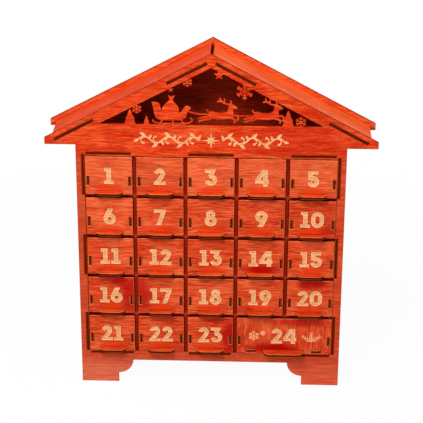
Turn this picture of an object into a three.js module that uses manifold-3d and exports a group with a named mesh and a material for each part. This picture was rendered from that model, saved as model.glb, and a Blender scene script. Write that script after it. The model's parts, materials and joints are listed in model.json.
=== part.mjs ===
// House-shaped advent calendar of plywood sheet, with twenty-four small drawers.
// Millimetres, +Z up, +X to the right of someone who looks at the drawer fronts,
// -Y towards them. The origin is on the table, under the middle of the whole piece.

import * as THREE from "three";
import { mergeVertices } from "three/addons/utils/BufferGeometryUtils.js";
import Module from "manifold-3d";

const wasm = await Module();
wasm.setup();

// Sheet and joints
const sheet = 3; // thickness of the plywood
const slot_gap = 0.3; // play all round a tab in its slot
const tab_length = 44.6; // each long tab of the case boards
const tab_from_ridge = 4.2; // first roof tab, from the board's upper end
const tab_from_eave = 3.7; // last roof tab, from the board's lower end

// House-shaped front and back panels
const depth = 55.3; // outer face of the front panel to outer face of the back panel
const side_rim = 5.5; // panel edge past the outer face of a side wall
const eave_reach = 31; // tip of an eave past the panel's straight side
const eaves_over_attic = 7.3; // underside of the eaves over the attic floor
const eave_tip = 6.9; // upright cut at the tip of an eave
const roof_slope = THREE.MathUtils.degToRad(28.3);
const foot_width = 39;
const foot_height = 26.4; // the arch between the feet
const arch_rim = 7.9; // panel left between the arch and the bottom board
const foot_bracket = 15.6; // radius of the quarter round between a foot and the arch

// Roof boards and gable opening, measured square to the slope
const roof_rim = 4.6; // panel edge over the top face of a roof board
const roof_tail = 4.3; // lower end of a roof board to the tip of the eave
const ridge_gap = 0.4; // between the two boards at the ridge
const gable_rim = 12; // panel left over the gable opening
const sill_over_eaves = 22.9; // lower edge of the gable opening

// Drawer grid
const column_count = 5;
const row_count = 5;
const drawer_count = 24;
const column_pitch = 51.6;
const row_pitch = 45;
const window_play = 0.5; // window edge past the top row of drawer fronts' cells
const window_strip = 1.7; // panel between the window and the slots over it
const shelf_tab = 20; // tab of a shelf through a side wall

// Drawer fronts
const front_side_play = 0.5; // front to the faces of its neighbours' dividers
const front_low_play = 0.3; // front to the shelf under it
const front_top_play = 0.3; // front to the shelf over it

// Drawer trays
const tray_inset = 1.3; // outer face of a tray side from the end of its front
const tray_height = 29;
const tray_back_play = 0.5; // tray to the back panel
const tray_floor_rise = 1; // underside of the tray's floor over its sides' lower edges
const side_tab_height = 9.5;
const side_tab_rise = 10.3; // tab over the drawer's lower edge
const floor_tab_width = 9.5; // the wide drawer's two short floor tabs
const floor_tab_offset = 34.2; // their centres from the drawer's middle

// Pull tongues: the tray's floor carried on through the front
const pull_width = 27.5;
const pull_reach = 7;
const pull_corner = 5.5;
const wide_pull_width = 42;
const wide_pull_reach = 10;
const wide_pull_corner = 7;

// Gable silhouettes
const stroke = 1.5; // reins, antlers, runner and snowflake arms
const bite = 1.2; // how far a silhouette runs into what holds it
const sleigh_x = -39;
const first_deer_x = 8;
const second_deer_x = 53;
const deer_over_sill = 10.4; // middle of the deer's bodies
const leg_width = 2.1;
const runner_rise = 1.6; // middle of the sleigh's runner over the sill
const right_tree_inset = 35.6;

// Trees and the low snowflake stand in from a lower corner of the opening.
const trees = [
  { side: -1, inset: 31.4, height: 16.4, half_base: 6.2 },
  { side: -1, inset: 47.8, height: 9.4, half_base: 3.4 },
  { side: 1, inset: right_tree_inset, height: 17, half_base: 6.2 },
];
const low_snowflake = { inset: 23, rise: 4.6, radius: 5.6 };

// Stars and the other snowflakes hang under the opening's sloping edge.
const stars = [
  { x: -40, drop: 1.8, radius: 3.2 },
  { x: 7.6, drop: 3.6, radius: 5.4 },
];
const snowflakes = [
  { x: -73.8, drop: 4.4, radius: 5 },
  { x: -23.6, drop: 2.6, radius: 5.2 },
  { x: 33, drop: 6.4, radius: 8.6 },
];

// Worked out from the sizes above
const inner_depth = depth - 2 * sheet;
const back_panel_front = depth - sheet;
const wall_inner = (column_count * column_pitch - sheet) / 2;
const wall_outer = wall_inner + sheet;
const panel_half = wall_outer + side_rim;
const eave_half = panel_half + eave_reach;
const case_floor = foot_height + arch_rim + sheet;
const window_top = case_floor + row_count * row_pitch - sheet + window_play;
const case_ceiling = window_top + window_strip;
const eave_height = case_ceiling + sheet + eaves_over_attic;
const gable_sill = eave_height + sill_over_eaves;
const apex = eave_height + eave_tip + eave_half * Math.tan(roof_slope);
const front_height = row_pitch - sheet - front_low_play - front_top_play;
const front_width = column_pitch - sheet - 2 * front_side_play;
const lap_middle = sheet + inner_depth / 2;

const stained = new THREE.Color(0xe2532e);
const roof_stain = new THREE.Color(0xee6c42);
const inner_stain = new THREE.Color(0xb8402a);

// Helpers: flat and upright plates of sheet, and joins and cuts

function mesh_to_solid(geometry) {
  const bare = geometry.clone();
  bare.deleteAttribute("normal");
  bare.deleteAttribute("uv");
  const merged = mergeVertices(bare, 1e-5);
  return new wasm.Manifold(
    new wasm.Mesh({
      numProp: 3,
      vertProperties: new Float32Array(merged.attributes.position.array),
      triVerts: new Uint32Array(merged.index.array),
    }),
  );
}

function solid_to_geometry(solid) {
  const mesh = solid.getMesh();
  const geometry = new THREE.BufferGeometry();
  const points = new THREE.BufferAttribute(new Float32Array(mesh.vertProperties), 3);
  geometry.setAttribute("position", points);
  geometry.setIndex(new THREE.BufferAttribute(new Uint32Array(mesh.triVerts), 1));
  geometry.computeVertexNormals();
  return geometry;
}

// A sheet that lies flat: the outline is in X and Y, its underside is at z.
function flat_plate(outline, z, thickness = sheet) {
  const settings = { depth: thickness, bevelEnabled: false, curveSegments: 6 };
  return new THREE.ExtrudeGeometry(outline, settings).translate(0, 0, z);
}

// A sheet that faces the front: the outline is in X and Z, its front face is at y.
function upright_plate(outline, y, thickness = sheet) {
  const settings = { depth: thickness, bevelEnabled: false, curveSegments: 6 };
  const stand = new THREE.Matrix4().makeBasis(
    new THREE.Vector3(1, 0, 0),
    new THREE.Vector3(0, 0, 1),
    new THREE.Vector3(0, -1, 0),
  );
  const geometry = new THREE.ExtrudeGeometry(outline, settings);
  return geometry.applyMatrix4(stand).translate(0, y + thickness, 0);
}

// A block with square corners, from its lowest corner to its highest.
function block(low, high) {
  const size = high.map((value, axis) => value - low[axis]);
  const middle = high.map((value, axis) => (value + low[axis]) / 2);
  return new THREE.BoxGeometry(...size).translate(...middle);
}

function join(geometries) {
  return geometries.map(mesh_to_solid).reduce((whole, piece) => whole.add(piece));
}

function cut(solid, geometries) {
  return geometries.reduce((whole, tool) => whole.subtract(mesh_to_solid(tool)), solid);
}

function named_mesh(name, geometry, color) {
  const material = new THREE.MeshStandardMaterial({ color, roughness: 0.55, metalness: 0 });
  const mesh = new THREE.Mesh(geometry, material);
  mesh.name = name;
  return mesh;
}

// Where the long tabs are

function column_middle(column) {
  return (column - (column_count - 1) / 2) * column_pitch;
}

function shelf_top(row_from_floor) {
  return case_floor + row_from_floor * row_pitch;
}

const tabbed_columns = [0, 2, 4];
const tabbed_rows = [0, 2, 4];

function board_tabs() {
  return tabbed_columns.map((column) => {
    const middle = column_middle(column);
    return [middle - tab_length / 2, middle + tab_length / 2];
  });
}

function wall_tabs() {
  return tabbed_rows.map((row) => {
    return [shelf_top(row), Math.min(shelf_top(row + 1), case_ceiling)];
  });
}

// Roof boards: distances run down the slope from the apex, and square to it

const board_top = -roof_rim;
const board_underside = board_top - sheet;
const board_start =
  (ridge_gap / 2 - board_underside * Math.sin(roof_slope)) / Math.cos(roof_slope);
const board_end = eave_half / Math.cos(roof_slope) - roof_tail;
const roof_tabs = [
  [board_start + tab_from_ridge, board_start + tab_from_ridge + tab_length],
  [board_end - tab_from_eave - tab_length, board_end - tab_from_eave],
];

function on_slope(object, side) {
  object.position.set(0, 0, apex);
  object.rotation.set(0, side * roof_slope, 0);
  return object;
}

function roof_board(name, side) {
  const pieces = [block([board_start, sheet, 0], [board_end, back_panel_front, sheet])];
  for (const [start, end] of roof_tabs) {
    pieces.push(block([start, 0, 0], [end, depth, sheet]));
  }
  const geometry = solid_to_geometry(join(pieces));
  geometry.translate(0, 0, board_underside);
  if (side < 0) {
    geometry.rotateZ(Math.PI);
    geometry.translate(0, depth, 0);
  }
  return on_slope(named_mesh(name, geometry, roof_stain), side);
}

// The slots for one roof board's tabs, as blocks that run through both panels.
function roof_slots(side) {
  return roof_tabs.map(([start, end]) => {
    const ends = [side * (start - slot_gap), side * (end + slot_gap)];
    const slot = new THREE.Mesh(
      block(
        [Math.min(...ends), -sheet, board_underside - slot_gap],
        [Math.max(...ends), depth + sheet, board_top + slot_gap],
      ),
    );
    on_slope(slot, side).updateMatrix();
    return slot.geometry.applyMatrix4(slot.matrix);
  });
}

// House outline of both panels, with the arch between its feet.
function house_outline() {
  const arch_half = panel_half - foot_width;
  const outline = new THREE.Shape();
  outline.moveTo(-panel_half, 0);
  outline.lineTo(-arch_half, 0);
  outline.absarc(-arch_half, foot_height, foot_bracket, -Math.PI / 2, 0);
  outline.absarc(arch_half, foot_height, foot_bracket, Math.PI, 1.5 * Math.PI);
  outline.lineTo(arch_half, 0);
  outline.lineTo(panel_half, 0);
  outline.lineTo(panel_half, eave_height);
  outline.lineTo(eave_half, eave_height);
  outline.lineTo(eave_half, eave_height + eave_tip);
  outline.lineTo(0, apex);
  outline.lineTo(-eave_half, eave_height + eave_tip);
  outline.lineTo(-eave_half, eave_height);
  outline.lineTo(-panel_half, eave_height);
  outline.closePath();
  return outline;
}

// Slots for the tabs of the top board, bottom board and side walls, and the roof's.
function panel_slots() {
  const through = [-sheet, depth + sheet];
  const slots = [...roof_slots(1), ...roof_slots(-1)];
  for (const [left, right] of board_tabs()) {
    for (const underside of [case_floor - sheet, case_ceiling]) {
      slots.push(
        block(
          [left - slot_gap, through[0], underside - slot_gap],
          [right + slot_gap, through[1], underside + sheet + slot_gap],
        ),
      );
    }
  }
  for (const [low, high] of wall_tabs()) {
    for (const middle of [-1, 1].map((side) => (side * (wall_inner + wall_outer)) / 2)) {
      slots.push(
        block(
          [middle - sheet / 2 - slot_gap, through[0], low - slot_gap],
          [middle + sheet / 2 + slot_gap, through[1], high + slot_gap],
        ),
      );
    }
  }
  return slots;
}

// Gable opening: its sides run parallel to the slopes.
const gable_apex = apex - gable_rim / Math.cos(roof_slope);
const gable_half = (gable_apex - gable_sill) / Math.tan(roof_slope);

function gable_opening() {
  const outline = new THREE.Shape();
  outline.moveTo(-gable_half, gable_sill);
  outline.lineTo(gable_half, gable_sill);
  outline.lineTo(0, gable_apex);
  outline.closePath();
  return outline;
}

// Height of the gable opening's sloping edge over the table.
function gable_edge(x) {
  return gable_apex - Math.abs(x) * Math.tan(roof_slope);
}

// Silhouettes left standing in the gable opening. Each runs a little into the
// panel or its neighbour, so that all of it is one sheet.

function bar(x0, z0, x1, z1, width = stroke) {
  const length = Math.hypot(x1 - x0, z1 - z0);
  const across = [(-(z1 - z0) / length) * (width / 2), ((x1 - x0) / length) * (width / 2)];
  const outline = new THREE.Shape();
  outline.moveTo(x0 - across[0], z0 - across[1]);
  outline.lineTo(x1 - across[0], z1 - across[1]);
  outline.lineTo(x1 + across[0], z1 + across[1]);
  outline.lineTo(x0 + across[0], z0 + across[1]);
  outline.closePath();
  return outline;
}

// A strip of even width with round ends, along a smooth line through the points.
function ribbon(points, width = stroke) {
  const line = new THREE.CatmullRomCurve3(points.map(([x, z]) => new THREE.Vector3(x, z, 0)));
  const steps = 4 * (points.length - 1);
  const cap_steps = 4;
  const outline = [];
  for (const way of [1, -1]) {
    for (let i = 0; i <= steps; i += 1) {
      const u = way > 0 ? i / steps : 1 - i / steps;
      const middle = line.getPoint(u);
      const ahead = line.getTangent(u).multiplyScalar((way * width) / 2);
      outline.push(new THREE.Vector2(middle.x + ahead.y, middle.y - ahead.x));
      for (let k = 1; i === steps && k < cap_steps; k += 1) {
        const turn = (k / cap_steps) * Math.PI - Math.PI / 2;
        const tip = new THREE.Vector2(ahead.x, ahead.y).rotateAround(new THREE.Vector2(), turn);
        outline.push(tip.add(new THREE.Vector2(middle.x, middle.y)));
      }
    }
  }
  return new THREE.Shape(outline);
}

// Three tiers of branches, each a little wider than the top of the one under it.
function fir_tree(x, height, half_base) {
  const low = gable_sill - bite;
  const tiers = 3;
  const waist = 0.93;
  const flare = 1.16;
  const outline = new THREE.Shape();
  outline.moveTo(x - half_base, low);
  outline.lineTo(x + half_base, low);
  for (let tier = 1; tier < tiers; tier += 1) {
    const left_over = 1 - tier / tiers;
    const z = gable_sill + height * (1 - left_over);
    outline.lineTo(x + half_base * left_over * waist, z);
    outline.lineTo(x + half_base * left_over * flare, z);
  }
  outline.lineTo(x, gable_sill + height);
  for (let tier = tiers - 1; tier > 0; tier -= 1) {
    const left_over = 1 - tier / tiers;
    const z = gable_sill + height * (1 - left_over);
    outline.lineTo(x - half_base * left_over * flare, z);
    outline.lineTo(x - half_base * left_over * waist, z);
  }
  outline.closePath();
  return [outline];
}

function star(x, z, radius) {
  const points = 5;
  const notch = radius * 0.42;
  const outline = new THREE.Shape();
  for (let i = 0; i < 2 * points; i += 1) {
    const angle = Math.PI / 2 + (i * Math.PI) / points;
    const r = i % 2 ? notch : radius;
    const point = [x + r * Math.cos(angle), z + r * Math.sin(angle)];
    if (i) outline.lineTo(...point);
    else outline.moveTo(...point);
  }
  outline.closePath();
  return [outline];
}

// Six arms, each with a pair of side twigs, and a second pair where there is room.
function snowflake(x, z, radius) {
  const bars = [];
  const arms = 6;
  const thick = Math.min(stroke, radius * 0.2);
  const roomy = radius > 5 * stroke;
  const twigs = roomy
    ? [[radius * 0.36, radius * 0.28], [radius * 0.66, radius * 0.32]]
    : [[radius * 0.52, radius * 0.4]];
  for (let i = 0; i < arms; i += 1) {
    const angle = ((i + 0.5) * 2 * Math.PI) / arms;
    const along = [Math.cos(angle), Math.sin(angle)];
    if (i < arms / 2) {
      const [u, w] = along.map((value) => value * radius);
      bars.push(bar(x - u, z - w, x + u, z + w, thick));
    }
    for (const [out, length] of twigs) {
      const fork = [x + along[0] * out, z + along[1] * out];
      for (const turn of [-Math.PI / 4, Math.PI / 4]) {
        const tip = [
          fork[0] + length * Math.cos(angle + turn),
          fork[1] + length * Math.sin(angle + turn),
        ];
        bars.push(bar(...fork, ...tip, thick));
      }
    }
  }
  return bars;
}

// A leaping deer. x and z are the middle of its body.
function reindeer(x, z) {
  const body = new THREE.Shape();
  body.moveTo(x - 10.4, z + 3.4);
  body.quadraticCurveTo(x - 8.8, z + 5.2, x - 5, z + 4);
  body.quadraticCurveTo(x + 1, z + 2.4, x + 6.6, z + 3.8);
  body.quadraticCurveTo(x + 9.6, z + 5.4, x + 9.2, z + 10.4);
  body.quadraticCurveTo(x + 9.4, z + 12.6, x + 12, z + 12.6);
  body.quadraticCurveTo(x + 15.2, z + 11.6, x + 17.8, z + 9);
  body.quadraticCurveTo(x + 18.2, z + 7.4, x + 16.4, z + 7.2);
  body.quadraticCurveTo(x + 14.2, z + 7.8, x + 13.6, z + 6);
  body.quadraticCurveTo(x + 13.6, z + 2.6, x + 14.8, z);
  body.quadraticCurveTo(x + 14, z - 3.2, x + 7.6, z - 3.4);
  body.quadraticCurveTo(x + 1, z - 4.4, x - 4.6, z - 3.6);
  body.quadraticCurveTo(x - 10.6, z - 3, x - 10.4, z + 3.4);
  body.closePath();
  const legs = [
    [[x + 11, z - 1.2], [x + 16.2, z + 0.4], [x + 18.8, z - 1], [x + 18.2, z - 4.4]],
    [[x + 9, z - 2.2], [x + 13.2, z - 3], [x + 15.6, z - 4.4], [x + 15.4, z - 7]],
    [[x - 6, z - 1], [x - 10.4, z - 4], [x - 14.4, z - 4.2], [x - 19.6, z - 6.4]],
    [[x - 8, z + 1], [x - 12, z - 1.8], [x - 15.4, z - 2], [x - 20, z - 3.4]],
  ];
  const twigs = [
    [[x + 11, z + 12], [x + 6.2, z + 12.6], [x + 2.4, z + 15], [x + 0.6, z + 18]],
    [[x + 5.8, z + 12.8], [x + 4.9, z + 14.6], [x + 5.2, z + 17.2]],
    [[x + 2.6, z + 14.8], [x + 0.8, z + 15.2], [x - 1.4, z + 14.6]],
    [[x + 11, z + 12], [x + 11.8, z + 13.4], [x + 11.4, z + 15.6]],
    [[x - 9.4, z + 3.2], [x - 11.4, z + 4.4], [x - 12, z + 6]],
  ];
  return [
    body,
    ...legs.map((points) => ribbon(points, leg_width)),
    ...twigs.map((points) => ribbon(points)),
  ];
}

// A sleigh on its runner, with a tied sack in it. x is its middle.
function sleigh(x) {
  const z = gable_sill;
  const body = new THREE.Shape();
  body.moveTo(x - 20, z + 23.6);
  body.quadraticCurveTo(x - 17.8, z + 16, x - 17.4, z + 11.4);
  body.quadraticCurveTo(x - 16.4, z + 5, x - 10, z + 4.6);
  body.lineTo(x + 7, z + 4.6);
  body.quadraticCurveTo(x + 14, z + 5, x + 15.2, z + 12);
  body.quadraticCurveTo(x + 15.8, z + 16.8, x + 17.4, z + 16.4);
  body.quadraticCurveTo(x + 19.2, z + 16.6, x + 18.8, z + 18.4);
  body.quadraticCurveTo(x + 14.4, z + 22.6, x + 11.4, z + 17);
  body.quadraticCurveTo(x + 8.6, z + 11.4, x + 2, z + 11.4);
  body.lineTo(x - 6, z + 12.4);
  body.quadraticCurveTo(x - 11, z + 13.6, x - 11.4, z + 20);
  body.quadraticCurveTo(x - 12, z + 24.2, x - 20, z + 23.6);
  body.closePath();
  const sack = new THREE.Shape();
  sack.moveTo(x - 9, z + 9);
  sack.lineTo(x + 5, z + 9);
  sack.quadraticCurveTo(x + 9.8, z + 17, x + 3.6, z + 22.6);
  sack.quadraticCurveTo(x + 0.8, z + 25, x + 1.2, z + 27);
  sack.quadraticCurveTo(x + 2, z + 29.4, x + 3.6, z + 30.6);
  sack.quadraticCurveTo(x + 1.4, z + 31, x - 0.4, z + 29.8);
  sack.quadraticCurveTo(x - 2, z + 31.2, x - 4, z + 30.8);
  sack.quadraticCurveTo(x - 2.6, z + 29, x - 2.2, z + 27);
  sack.quadraticCurveTo(x - 2.2, z + 25, x - 5.4, z + 23);
  sack.quadraticCurveTo(x - 12.4, z + 17, x - 9, z + 9);
  sack.closePath();
  const low = z + runner_rise;
  const runner = [
    [x - 19, z + 4.6],
    [x - 17.4, z + 2.4],
    [x - 14, low],
    [x + 13, low],
    [x + 18, z + 2.6],
    [x + 20.2, z + 5.2],
    [x + 18.8, z + 7.2],
  ];
  const struts = [
    [x - 13, x - 9],
    [x + 1, x + 1],
    [x + 13, x + 9],
  ].map(([foot, head]) => bar(foot, z - bite, head, z + 6));
  return [body, sack, ribbon(runner), ...struts];
}

const deer_height = gable_sill + deer_over_sill;

function reins() {
  const z = deer_height;
  const right_tree_x = gable_half - right_tree_inset;
  const from_sleigh = [
    [sleigh_x + 14.6, z + 4.4],
    [sleigh_x + 25, z + 1.6],
    [first_deer_x - 9, z + 1],
  ];
  const between_deer = [
    [first_deer_x + 14, z + 0.8],
    [(first_deer_x + second_deer_x) / 2 + 2, z - 0.2],
    [second_deer_x - 9, z + 0.8],
  ];
  const to_tree = [
    [second_deer_x + 18, z - 3],
    [right_tree_x, z - 4],
  ];
  return [from_sleigh, between_deer, to_tree].map((points) => ribbon(points));
}

function gable_scene() {
  const low_x = gable_half - low_snowflake.inset;
  const low_z = gable_sill + low_snowflake.rise;
  return [
    ...trees.flatMap((tree) => {
      return fir_tree(tree.side * (gable_half - tree.inset), tree.height, tree.half_base);
    }),
    ...stars.flatMap(({ x, drop, radius }) => star(x, gable_edge(x) - drop, radius)),
    ...snowflakes.flatMap(({ x, drop, radius }) => {
      return snowflake(x, gable_edge(x) - drop, radius);
    }),
    ...snowflake(low_x, low_z, low_snowflake.radius),
    ...sleigh(sleigh_x),
    ...reindeer(first_deer_x, deer_height),
    ...reindeer(second_deer_x, deer_height),
    ...reins(),
  ];
}

function front_panel() {
  const window = block(
    [-wall_inner, -sheet, case_floor],
    [wall_inner, 2 * sheet, window_top],
  );
  const openings = [upright_plate(gable_opening(), -sheet, 3 * sheet), window];
  const frame = cut(mesh_to_solid(upright_plate(house_outline(), 0)), openings);
  const scene = gable_scene().map((outline) => mesh_to_solid(upright_plate(outline, 0)));
  const whole = scene.reduce((panel, figure) => panel.add(figure), frame);
  return named_mesh("front_panel", solid_to_geometry(cut(whole, panel_slots())), stained);
}

function back_panel() {
  const plate = mesh_to_solid(upright_plate(house_outline(), back_panel_front));
  return named_mesh("back_panel", solid_to_geometry(cut(plate, panel_slots())), stained);
}

// A flat case board with its tabs through the front and back panels.
function case_board(underside) {
  const pieces = [
    block(
      [-wall_outer, sheet, underside],
      [wall_outer, back_panel_front, underside + sheet],
    ),
  ];
  for (const [left, right] of board_tabs()) {
    pieces.push(block([left, 0, underside], [right, depth, underside + sheet]));
  }
  return join(pieces);
}

function bottom_board() {
  const geometry = solid_to_geometry(case_board(case_floor - sheet));
  return named_mesh("bottom_board", geometry, inner_stain);
}

function shelf_tab_reach() {
  return [lap_middle - shelf_tab / 2, lap_middle + shelf_tab / 2];
}

function side_wall(name, side) {
  const left = side > 0 ? wall_inner : -wall_outer;
  const pieces = [
    block([left, sheet, case_floor], [left + sheet, back_panel_front, case_ceiling]),
  ];
  for (const [low, high] of wall_tabs()) {
    pieces.push(block([left, 0, low], [left + sheet, depth, high]));
  }
  const [tab_front, tab_back] = shelf_tab_reach();
  const slots = [];
  for (let row = 1; row < row_count; row += 1) {
    slots.push(
      block(
        [left - sheet, tab_front - slot_gap, shelf_top(row) - sheet - slot_gap],
        [left + 2 * sheet, tab_back + slot_gap, shelf_top(row) + slot_gap],
      ),
    );
  }
  return named_mesh(name, solid_to_geometry(cut(join(pieces), slots)), stained);
}

// Dividers hang from the top board. Over the wide drawer one stops short, on the shelf.
const wide_drawer_divider = column_count - 2;

function divider_middle(index) {
  return (column_middle(index) + column_middle(index + 1)) / 2;
}

function top_board_and_dividers() {
  const glued = sheet / 2; // how far a divider's upper edge is let into the top board
  const pieces = [];
  const slots = [];
  for (let index = 0; index < column_count - 1; index += 1) {
    const middle = divider_middle(index);
    const first_row = index === wide_drawer_divider ? 1 : 0;
    pieces.push(
      block(
        [middle - sheet / 2, sheet, shelf_top(first_row)],
        [middle + sheet / 2, back_panel_front, case_ceiling + glued],
      ),
    );
    for (let row = first_row + 1; row < row_count; row += 1) {
      slots.push(
        block(
          [middle - sheet, 0, shelf_top(row) - sheet - slot_gap],
          [middle + sheet, lap_middle + slot_gap, shelf_top(row) + slot_gap],
        ),
      );
    }
  }
  const dividers = cut(join(pieces), slots);
  const whole = dividers.add(case_board(case_ceiling));
  return named_mesh("top_board_and_dividers", solid_to_geometry(whole), inner_stain);
}

function shelf(row) {
  const low = shelf_top(row) - sheet;
  const high = shelf_top(row);
  const [tab_front, tab_back] = shelf_tab_reach();
  const pieces = [
    block([-wall_inner, sheet, low], [wall_inner, back_panel_front, high]),
    block([-wall_outer, tab_front, low], [wall_outer, tab_back, high]),
  ];
  const slots = [];
  for (let index = 0; index < column_count - 1; index += 1) {
    const middle = divider_middle(index);
    if (row > 1 || index !== wide_drawer_divider) {
      slots.push(
        block(
          [middle - sheet / 2 - slot_gap, lap_middle - slot_gap, low - sheet],
          [middle + sheet / 2 + slot_gap, depth, high + sheet],
        ),
      );
    }
  }
  const geometry = solid_to_geometry(cut(join(pieces), slots));
  return named_mesh(`shelf_${row_count - row}`, geometry, inner_stain);
}

// Drawers, built in their own frame: the middle of the front's lower front edge.

function drawer_front(name, width) {
  const slots = [];
  const tab_middle = width / 2 - tray_inset - sheet / 2;
  for (const middle of [-tab_middle, tab_middle]) {
    slots.push(
      block(
        [middle - sheet / 2 - slot_gap, -sheet, side_tab_rise - slot_gap],
        [middle + sheet / 2 + slot_gap, 2 * sheet, side_tab_rise + side_tab_height + slot_gap],
      ),
    );
  }
  for (const [left, right] of floor_tabs(width)) {
    slots.push(
      block(
        [left - slot_gap, -sheet, tray_floor_rise - slot_gap],
        [right + slot_gap, 2 * sheet, tray_floor_rise + sheet + slot_gap],
      ),
    );
  }
  const plate = mesh_to_solid(block([-width / 2, 0, 0], [width / 2, sheet, front_height]));
  return named_mesh(name, solid_to_geometry(cut(plate, slots)), stained);
}

function is_wide(width) {
  return width > column_pitch;
}

// What goes through the front at the floor's level: the pull, and on the wide
// drawer a short tab to each side of it.
function floor_tabs(width) {
  if (!is_wide(width)) {
    return [[-pull_width / 2, pull_width / 2]];
  }
  const tabs = [[-wide_pull_width / 2, wide_pull_width / 2]];
  for (const middle of [-floor_tab_offset, floor_tab_offset]) {
    tabs.push([middle - floor_tab_width / 2, middle + floor_tab_width / 2]);
  }
  return tabs;
}

function pull_outline(width) {
  const half = (is_wide(width) ? wide_pull_width : pull_width) / 2;
  const reach = is_wide(width) ? wide_pull_reach : pull_reach;
  const corner = is_wide(width) ? wide_pull_corner : pull_corner;
  const outline = new THREE.Shape();
  outline.moveTo(half, 2 * sheet);
  outline.lineTo(-half, 2 * sheet);
  outline.lineTo(-half, -reach + corner);
  outline.absarc(-half + corner, -reach + corner, corner, Math.PI, 1.5 * Math.PI);
  outline.absarc(half - corner, -reach + corner, corner, 1.5 * Math.PI, 2 * Math.PI);
  outline.closePath();
  return outline;
}

function drawer_tray(name, width) {
  const outer = width / 2 - tray_inset;
  const inner = outer - sheet;
  const tray_back = back_panel_front - tray_back_play;
  const floor_top = tray_floor_rise + sheet;
  const pieces = [
    block([-outer, tray_back - sheet, 0], [outer, tray_back, tray_height]),
    block([-outer, sheet, tray_floor_rise], [outer, tray_back, floor_top]),
    flat_plate(pull_outline(width), tray_floor_rise),
  ];
  for (const left of [-outer, inner]) {
    pieces.push(block([left, sheet, 0], [left + sheet, tray_back, tray_height]));
    pieces.push(
      block(
        [left, 0, side_tab_rise],
        [left + sheet, 2 * sheet, side_tab_rise + side_tab_height],
      ),
    );
  }
  for (const [left, right] of floor_tabs(width).slice(1)) {
    pieces.push(block([left, 0, tray_floor_rise], [right, 2 * sheet, floor_top]));
  }
  return named_mesh(name, solid_to_geometry(join(pieces)), inner_stain);
}

function drawer(number) {
  const column = (number - 1) % column_count;
  const row = row_count - 1 - Math.floor((number - 1) / column_count);
  const last = number === drawer_count;
  const width = last ? front_width + column_pitch : front_width;
  const middle = last ? divider_middle(column) : column_middle(column);
  const label = String(number).padStart(2, "0");
  const group = new THREE.Group();
  group.position.set(middle, 0, shelf_top(row) + front_low_play);
  group.add(drawer_front(`drawer_${label}_front`, width));
  group.add(drawer_tray(`drawer_${label}_tray`, width));
  return group;
}

// The whole calendar, set so that the origin is under the middle of its box.
const calendar = new THREE.Group();
calendar.position.y = -(depth - wide_pull_reach) / 2;
calendar.add(front_panel());
calendar.add(back_panel());
calendar.add(side_wall("left_wall", -1));
calendar.add(side_wall("right_wall", 1));
calendar.add(bottom_board());
calendar.add(top_board_and_dividers());
for (let row = row_count - 1; row > 0; row -= 1) {
  calendar.add(shelf(row));
}
calendar.add(roof_board("roof_left", -1));
calendar.add(roof_board("roof_right", 1));
for (let number = 1; number <= drawer_count; number += 1) {
  calendar.add(drawer(number));
}

const part = new THREE.Group();
part.add(calendar);

export default part;
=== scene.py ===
# %% [markdown]
# # A plywood advent calendar
# The real thing is a flat-pack house of thin birch plywood. A laser cuts every sheet, so its
# edges are square and scorched brown, and a red-orange stain colours the faces. Twenty-four small
# drawers slide into an egg-crate of shelves and dividers. Everything here is made around the
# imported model, which holds the sizes: this file adds eased edges, engraving and the finish of the
# wood.

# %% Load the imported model
import json
import math

import bmesh
import bpy
from mathutils import Matrix, Vector

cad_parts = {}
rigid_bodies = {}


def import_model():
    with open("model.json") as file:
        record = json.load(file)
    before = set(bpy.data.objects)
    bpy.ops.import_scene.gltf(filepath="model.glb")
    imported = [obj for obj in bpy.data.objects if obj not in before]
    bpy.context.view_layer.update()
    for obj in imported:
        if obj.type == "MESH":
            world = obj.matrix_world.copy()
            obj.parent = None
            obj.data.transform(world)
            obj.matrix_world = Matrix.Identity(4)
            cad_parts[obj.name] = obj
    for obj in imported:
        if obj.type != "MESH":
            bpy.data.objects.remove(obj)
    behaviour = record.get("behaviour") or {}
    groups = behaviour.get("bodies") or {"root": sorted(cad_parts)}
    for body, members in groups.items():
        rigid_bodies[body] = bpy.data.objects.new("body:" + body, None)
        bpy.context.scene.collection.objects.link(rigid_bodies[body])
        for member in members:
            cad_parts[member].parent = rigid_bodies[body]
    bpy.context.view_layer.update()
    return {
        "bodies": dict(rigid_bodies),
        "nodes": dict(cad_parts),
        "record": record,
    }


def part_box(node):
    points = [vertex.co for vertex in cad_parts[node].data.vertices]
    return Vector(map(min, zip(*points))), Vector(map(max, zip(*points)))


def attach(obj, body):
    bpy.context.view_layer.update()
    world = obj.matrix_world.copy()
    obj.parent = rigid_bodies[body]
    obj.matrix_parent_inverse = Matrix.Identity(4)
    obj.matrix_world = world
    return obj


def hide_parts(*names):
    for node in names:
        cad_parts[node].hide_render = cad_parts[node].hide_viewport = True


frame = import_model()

# %% [markdown]

# %% [markdown]
# The whole calendar is one kind of sheet, so its thickness is the size that most others start
# from. It is read from the front panel, as is the plane of the front face.

# %% Sizes read from the model
mm = 0.001
panel_low, panel_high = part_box("front_panel")
sheet = panel_high.y - panel_low.y
front_y = panel_low.y
drawer_names = sorted(name for name in frame["bodies"] if name.startswith("drawer_"))
print(f"sheet {sheet / mm:.2f} mm, front face at y {front_y / mm:.2f} mm")
print(len(drawer_names), "drawers")

# %% [markdown]
# The camera stands where the photographer's did, found by matching the corners of the panels and
# drawers to the picture. A long lens from above keeps the uprights nearly parallel. The focal
# length was measured in pixels of a 423-pixel picture, and a lens in millimetres follows from it.

# %% Camera
def add_object(name, data):
    made = bpy.data.objects.new(name, data)
    bpy.context.scene.collection.objects.link(made)
    return made


picture_px = 423
focal_px = 1622.4
sensor_mm = 36
pitch = math.radians(24.32)
yaw = math.radians(-1.75)
roll = math.radians(0.28)
camera_distance = 1.6492
look_at = Vector((0.84 * mm, front_y, 200.83 * mm))

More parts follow.
